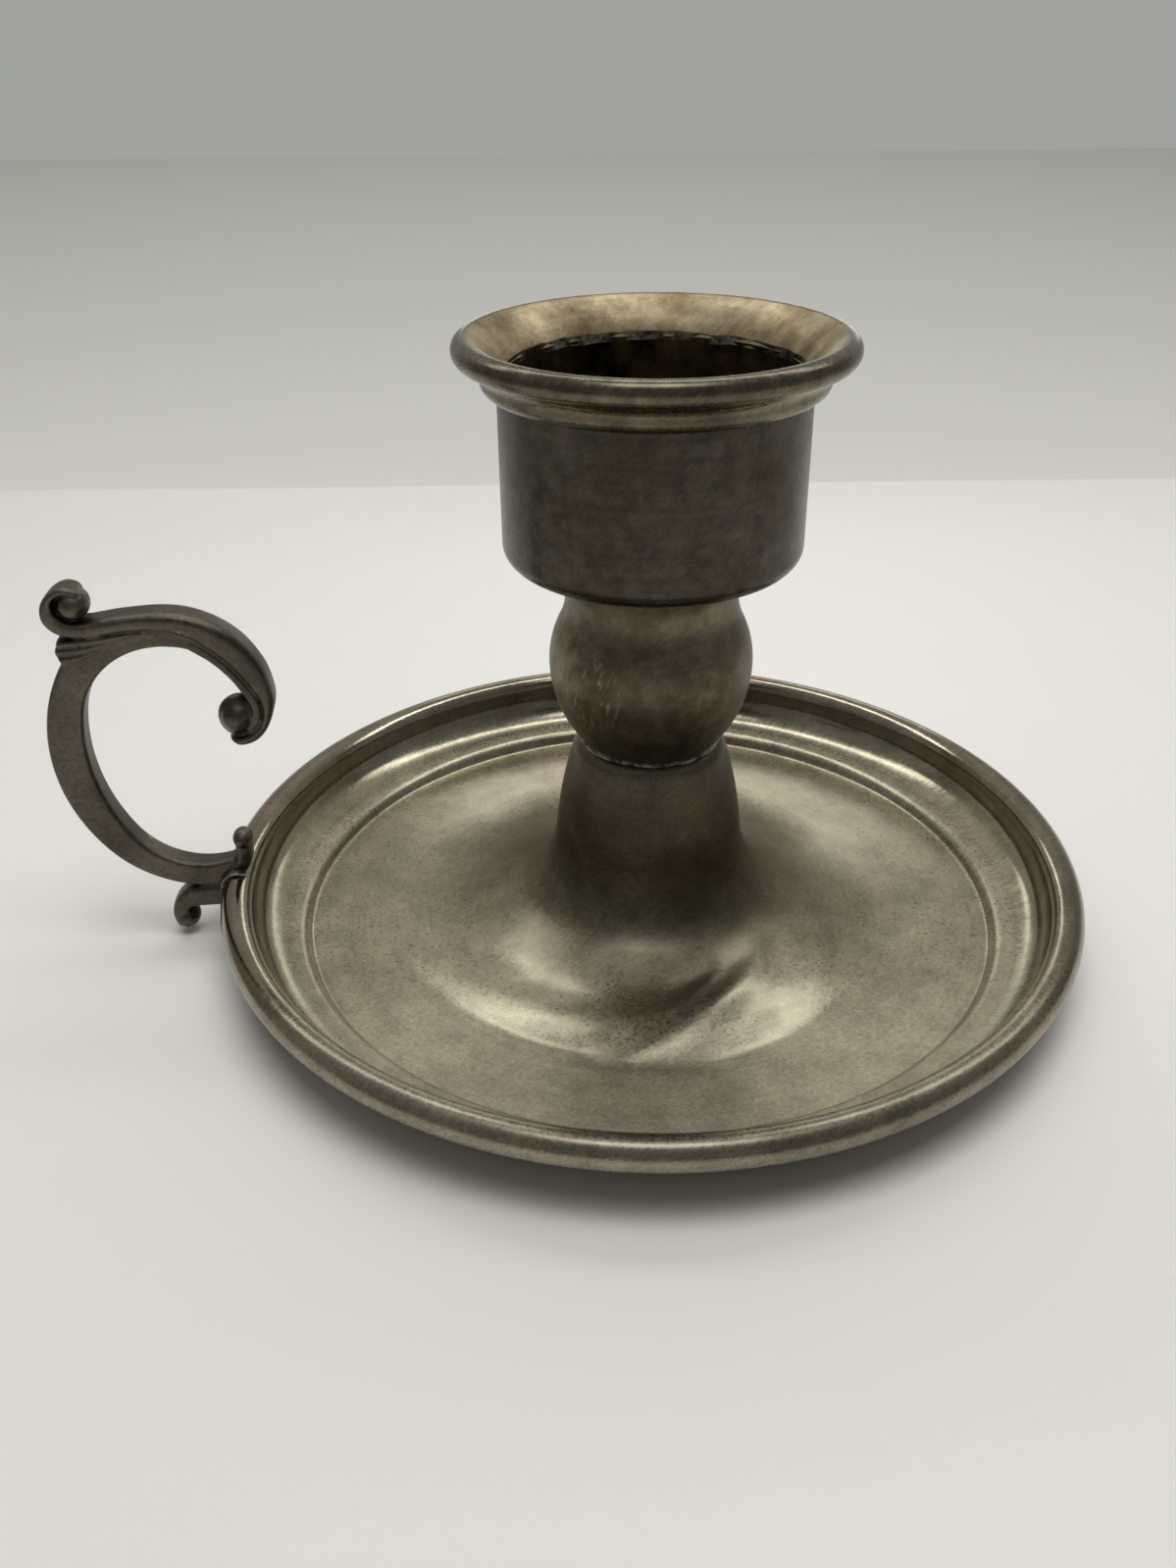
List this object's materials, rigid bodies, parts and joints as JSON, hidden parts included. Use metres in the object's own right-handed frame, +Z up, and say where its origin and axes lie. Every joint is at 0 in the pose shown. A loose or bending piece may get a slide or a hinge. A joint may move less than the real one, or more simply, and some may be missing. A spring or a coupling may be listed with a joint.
{
  "type": "chamberstick with finger loop",
  "caption": "Pewter chamberstick: spun drip pan drawn up into a bell stem, pear knop, straight candle cup with a flared mouth, and a cast scroll handle whose loop takes a finger.",
  "frame": {"origin": "on the pan's axis, in the plane of the flat ring foot that stands on the table", "axes": "+Z up along the candle's axis, out of the cup's mouth; the handle lies along -X, in the XZ plane"},
  "size_m": [0.1769, 0.152, 0.1038],
  "materials": {
    "spun_pewter": "spun pewter, worn satin with lathe lines",
    "dark_pewter": "turned pewter, darkened by age",
    "cast_pewter": "cast pewter, worn bright on its ridges",
    "solder": "soft solder, filed and ragged"
  },
  "bodies": {
    "root": {"pan": "spun_pewter", "knop": "dark_pewter", "candle_cup": "dark_pewter", "mouth_ring": "dark_pewter", "handle": "cast_pewter", "stem_solder": "solder", "cup_solder": "solder", "mouth_solder": "solder", "handle_solder": "solder"}
  },
  "joints": []
}
